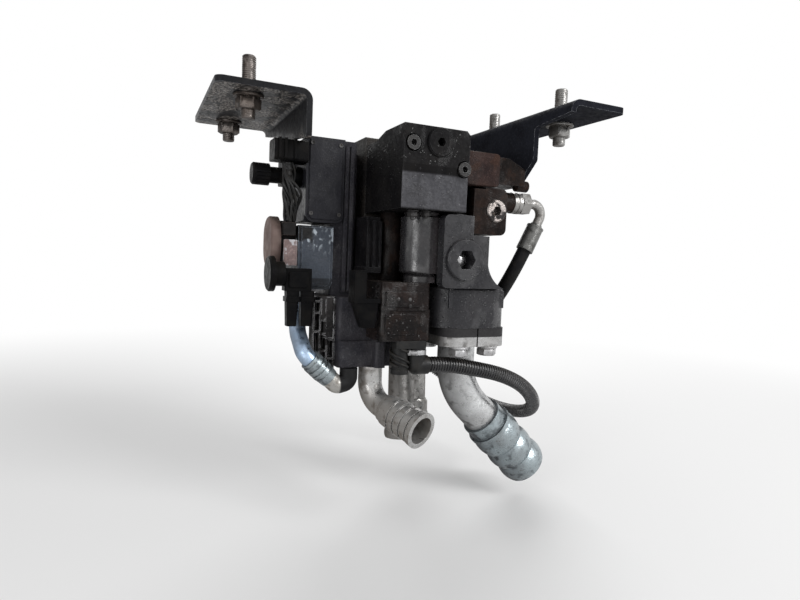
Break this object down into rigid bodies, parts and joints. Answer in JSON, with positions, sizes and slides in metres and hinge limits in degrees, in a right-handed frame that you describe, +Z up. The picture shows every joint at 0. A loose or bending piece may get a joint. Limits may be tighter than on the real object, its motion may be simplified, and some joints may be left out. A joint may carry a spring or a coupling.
{
  "type": "hydraulic control valve assembly",
  "caption": "Sectional hydraulic control valve hung by two steel brackets, with plugs, electric actuators, a split port flange and crimped tube ends.",
  "frame": {"origin": "middle of the left bracket's two studs, on the top face of its flange", "axes": "+Z up along the studs, +X right along the front of the valve, +Y to its back"},
  "size_m": [0.4121, 0.309, 0.4587],
  "materials": {
    "black_paint": "matte",
    "bracket_steel": "satin",
    "brown_plastic": "matte",
    "dull_zinc": "satin",
    "dusty_casting": "matte",
    "hose_rubber": "matte",
    "plastic": "matte",
    "rusty_brown": "matte",
    "worn_plastic": "matte",
    "zinc": "satin"
  },
  "bodies": {
    "root": {"base_plate": "black_paint", "blank_tag": "brown_plastic", "brown_block": "rusty_brown", "cable_boots": "plastic", "climbing_tube": "dull_zinc", "conduit": "plastic", "connector_block": "plastic", "elbow_ferrule": "zinc", "end_disc": "brown_plastic", "end_plate": "black_paint", "finned_casting": "dusty_casting", "flange_bolts": "zinc", "front_barrel": "black_paint", "hanging_connectors": "plastic", "inlet_housing": "dusty_casting", "inlet_plug": "black_paint", "jumper_hose": "hose_rubber", "left_bracket": "bracket_steel", "left_section": "black_paint", "left_studs": "dull_zinc", "locking_cap": "plastic", "lower_actuator": "worn_plastic", "lower_elbow": "black_paint", "lower_port_block": "dusty_casting", "main_ferrule": "zinc", "main_tube": "zinc", "manifold_screws": "dull_zinc", "pilot_block": "black_paint", "pilot_connector": "plastic", "pilot_plate": "dusty_casting", "pilot_valve": "plastic", "plug_connector": "plastic", "port_flange_left": "zinc", "port_flange_right": "zinc", "rear_adaptor": "dull_zinc", "rear_barrel": "rusty_brown", "rear_connector": "plastic", "rear_ferrule": "dull_zinc", "return_ferrule": "dull_zinc", "return_tube": "dull_zinc", "right_bracket": "bracket_steel", "right_studs": "dull_zinc", "round_connector": "plastic", "side_elbow": "zinc", "side_ferrule": "dull_zinc", "side_plug": "zinc", "side_port_block": "black_paint", "spacer_block": "dusty_casting", "top_plug": "black_paint", "twin_ferrule_1": "dull_zinc", "twin_ferrule_2": "dull_zinc", "twin_tube_1": "zinc", "twin_tube_2": "zinc", "upper_actuator": "plastic", "upper_manifold": "black_paint", "valve_section_1": "black_paint", "valve_section_2": "black_paint", "valve_section_3": "black_paint", "wiring_loom": "plastic"}
  },
  "joints": []
}
